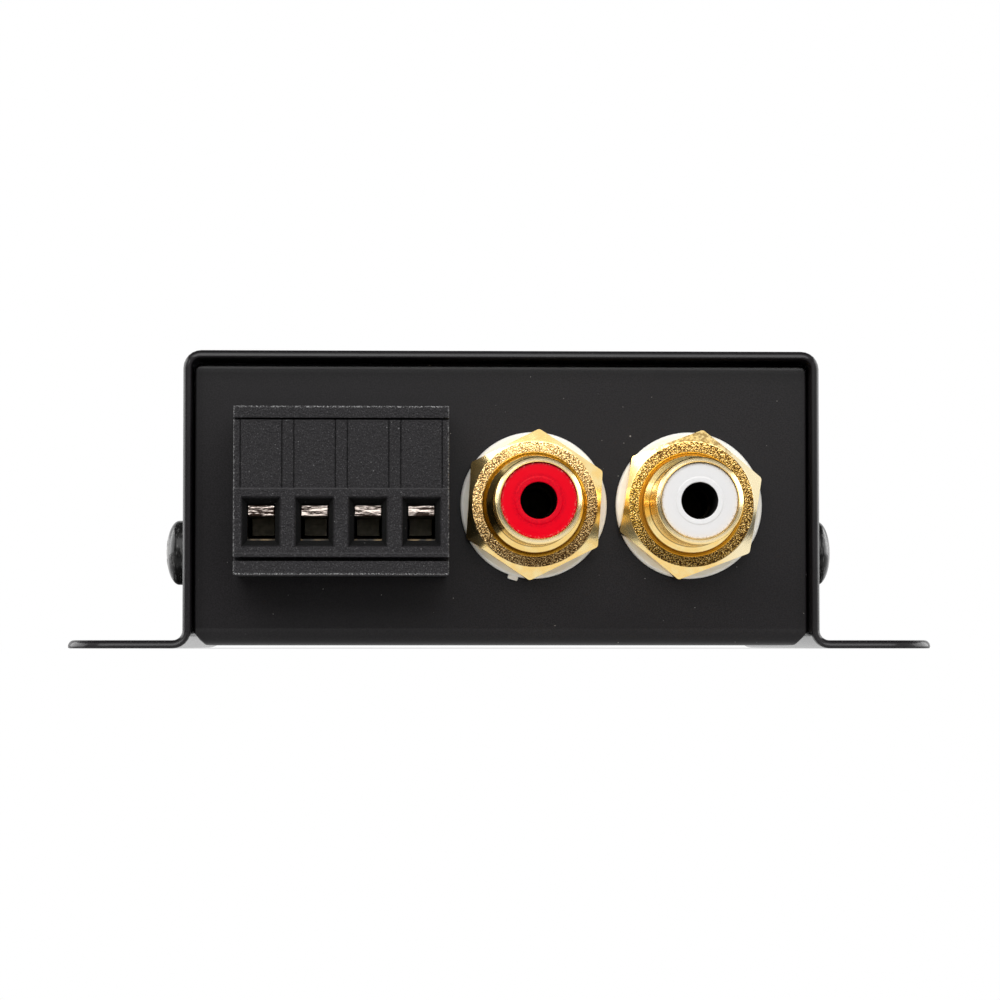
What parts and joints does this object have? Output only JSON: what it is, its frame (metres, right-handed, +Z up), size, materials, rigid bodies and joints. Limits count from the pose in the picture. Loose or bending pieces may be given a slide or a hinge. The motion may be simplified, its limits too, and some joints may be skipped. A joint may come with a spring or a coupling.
{
  "type": "car audio preamplifier",
  "caption": "Small black flanged steel case holding an audio preamplifier, with gold phono jacks, a pluggable screw terminal and a level knob.",
  "frame": {"origin": "middle of the four mounting holes, on the surface the flanges rest on", "axes": "+Z up out of the mounting surface, -Y out of the pictured end with the terminal plug, +X to the right as seen from that end"},
  "size_m": [0.0848, 0.091, 0.029],
  "materials": {
    "case_paint": "satin black powder coat on steel sheet",
    "black_screw": "blackened steel, scuffed on the crown",
    "board": "green solder mask on glass laminate",
    "plated_steel": "bright zinc plate",
    "tinned_metal": "tin plate on copper",
    "gold_plate": "thin gold plate on turned brass",
    "terminal_plastic": "black nylon with a fine eroded grain",
    "knob_plastic": "black moulded plastic",
    "red_plastic": "red moulded plastic",
    "white_plastic": "white moulded plastic",
    "washer_plastic": "off-white nylon",
    "lamp_plastic": "clear tinted lens",
    "chip_plastic": "black moulding compound",
    "capacitor_sleeve": "shrunk sleeve",
    "film_box": "moulded box",
    "ferrite": "pressed ferrite",
    "resistor_coat": "lacquered coat"
  },
  "bodies": {
    "chassis": {"base_tray": "case_paint", "cover": "case_paint", "cover_screws": "black_screw", "circuit_board": "board", "board_standoffs": "plated_steel", "board_screws": "plated_steel", "terminal_header": "terminal_plastic", "header_pins": "tinned_metal", "jack_inner_washers": "washer_plastic", "level_pot": "plated_steel", "level_nut": "plated_steel", "level_washer": "plated_steel", "power_lamp": "lamp_plastic", "amplifier_chips": "chip_plastic", "electrolytic_capacitors": "capacitor_sleeve", "film_capacitors": "film_box", "supply_inductor": "ferrite", "regulator": "chip_plastic", "resistors": "resistor_coat", "output_right_sleeve": "gold_plate", "output_right_contact": "gold_plate", "output_right_nut": "gold_plate", "output_right_washer": "washer_plastic", "output_right_base": "terminal_plastic", "output_right_insulator": "red_plastic", "output_left_sleeve": "gold_plate", "output_left_contact": "gold_plate", "output_left_nut": "gold_plate", "output_left_washer": "washer_plastic", "output_left_base": "terminal_plastic", "output_left_insulator": "white_plastic", "input_right_sleeve": "gold_plate", "input_right_contact": "gold_plate", "input_right_nut": "gold_plate", "input_right_washer": "washer_plastic", "input_right_base": "terminal_plastic", "input_right_insulator": "red_plastic", "input_left_sleeve": "gold_plate", "input_left_contact": "gold_plate", "input_left_nut": "gold_plate", "input_left_washer": "washer_plastic", "input_left_base": "terminal_plastic", "input_left_insulator": "white_plastic"},
    "plug": {"plug_housing": "terminal_plastic", "plug_front": "terminal_plastic", "plug_contacts": "tinned_metal"},
    "clamp_screw_1": {"clamp_screw_1": "plated_steel"},
    "clamp_cage_1": {"clamp_cage_1": "tinned_metal"},
    "clamp_screw_2": {"clamp_screw_2": "plated_steel"},
    "clamp_cage_2": {"clamp_cage_2": "tinned_metal"},
    "clamp_screw_3": {"clamp_screw_3": "plated_steel"},
    "clamp_cage_3": {"clamp_cage_3": "tinned_metal"},
    "clamp_screw_4": {"clamp_screw_4": "plated_steel"},
    "clamp_cage_4": {"clamp_cage_4": "tinned_metal"},
    "level_control": {"level_shaft": "plated_steel", "level_knob": "knob_plastic", "knob_pointer": "white_plastic"}
  },
  "joints": [
    {"name": "plug_slide", "type": "slide", "parent": "chassis", "child": "plug", "axis": [0, -1, 0], "range_m": [0, 0.014]},
    {"name": "clamp_screw_1_turn", "type": "hinge", "parent": "plug", "child": "clamp_screw_1", "pos_m": [-0.02317, -0.0376, 0.012], "axis": [0, 0, -1], "range_deg": [0, 1440]},
    {"name": "clamp_cage_1_lift", "type": "slide", "parent": "plug", "child": "clamp_cage_1", "axis": [0, 0, 1], "range_m": [0, 0.002]},
    {"name": "clamp_screw_2_turn", "type": "hinge", "parent": "plug", "child": "clamp_screw_2", "pos_m": [-0.01809, -0.0376, 0.012], "axis": [0, 0, -1], "range_deg": [0, 1440]},
    {"name": "clamp_cage_2_lift", "type": "slide", "parent": "plug", "child": "clamp_cage_2", "axis": [0, 0, 1], "range_m": [0, 0.002]},
    {"name": "clamp_screw_3_turn", "type": "hinge", "parent": "plug", "child": "clamp_screw_3", "pos_m": [-0.01301, -0.0376, 0.012], "axis": [0, 0, -1], "range_deg": [0, 1440]},
    {"name": "clamp_cage_3_lift", "type": "slide", "parent": "plug", "child": "clamp_cage_3", "axis": [0, 0, 1], "range_m": [0, 0.002]},
    {"name": "clamp_screw_4_turn", "type": "hinge", "parent": "plug", "child": "clamp_screw_4", "pos_m": [-0.00793, -0.0376, 0.012], "axis": [0, 0, -1], "range_deg": [0, 1440]},
    {"name": "clamp_cage_4_lift", "type": "slide", "parent": "plug", "child": "clamp_cage_4", "axis": [0, 0, 1], "range_m": [0, 0.002]},
    {"name": "level_turn", "type": "hinge", "parent": "chassis", "child": "level_control", "pos_m": [-0.0156, 0.033, 0.014], "axis": [0, -1, 0], "range_deg": [-150, 150]}
  ],
  "couplings": [
    {"joint": "clamp_screw_1_turn", "follows": "clamp_cage_1_lift", "rad_per_m": 12566},
    {"joint": "clamp_screw_2_turn", "follows": "clamp_cage_2_lift", "rad_per_m": 12566},
    {"joint": "clamp_screw_3_turn", "follows": "clamp_cage_3_lift", "rad_per_m": 12566},
    {"joint": "clamp_screw_4_turn", "follows": "clamp_cage_4_lift", "rad_per_m": 12566}
  ]
}
